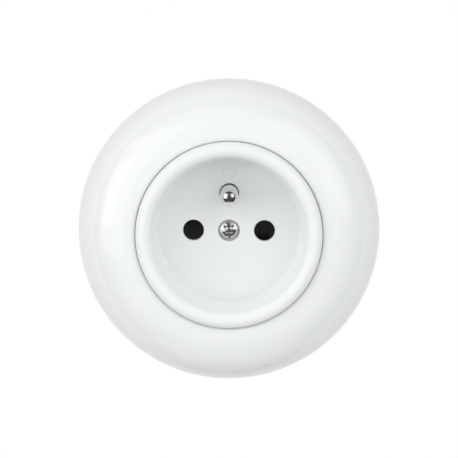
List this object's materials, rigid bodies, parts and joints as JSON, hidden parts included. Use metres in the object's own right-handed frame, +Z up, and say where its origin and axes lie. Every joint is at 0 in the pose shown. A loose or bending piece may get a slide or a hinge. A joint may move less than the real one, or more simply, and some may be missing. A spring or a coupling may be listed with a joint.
{
  "type": "wall socket",
  "caption": "Round flush wall socket: domed ring frame, deep round well with an earth pin, shuttered pin holes, screwed centre cover, steel ring and moulded body behind.",
  "frame": {"origin": "on the wall surface, midway between the two box screws", "axes": "-Y out of the wall towards the room, +Y into the wall box, +Z up (earth pin above the pin holes), +X to the right as seen from the room"},
  "size_m": [0.081, 0.0425, 0.081],
  "materials": {
    "frame_plastic": "gloss",
    "cover_plastic": "gloss",
    "bright_nickel": "polished",
    "zinc_steel": "satin",
    "housing_plastic": "matte",
    "deck_plastic": "matte",
    "shutter_plastic": "satin",
    "spring_steel": "satin",
    "contact_brass": "satin"
  },
  "bodies": {
    "socket": {"outer_frame": "frame_plastic", "centre_cover": "cover_plastic", "cover_screw": "bright_nickel", "cover_nut": "zinc_steel", "mounting_ring": "zinc_steel", "base_housing": "housing_plastic", "contact_deck": "deck_plastic", "shutter_spring": "spring_steel", "earth_pin": "bright_nickel", "earth_strap": "contact_brass", "live_contact": "contact_brass", "neutral_contact": "contact_brass", "live_contact_clip": "spring_steel", "neutral_contact_clip": "spring_steel", "live_clamp_plate": "zinc_steel", "neutral_clamp_plate": "zinc_steel", "earth_clamp_plate": "zinc_steel", "live_terminal_screw": "zinc_steel", "neutral_terminal_screw": "zinc_steel", "earth_terminal_screw": "zinc_steel", "deck_screw_1": "zinc_steel", "deck_screw_2": "zinc_steel", "ring_rivet_1": "zinc_steel", "ring_rivet_2": "zinc_steel", "ring_rivet_3": "zinc_steel", "ring_rivet_4": "zinc_steel"},
    "shutter": {"rotary_shutter": "shutter_plastic"}
  },
  "joints": [
    {"name": "shutter_turn", "type": "hinge", "parent": "socket", "child": "shutter", "pos_m": [0, -0.00075, 0], "axis": [0, -1, 0], "range_deg": [0, 36], "stiffness_Nm_per_rad": 0.0006, "springref_deg": -28.65, "deforming": ["shutter_spring"]}
  ]
}
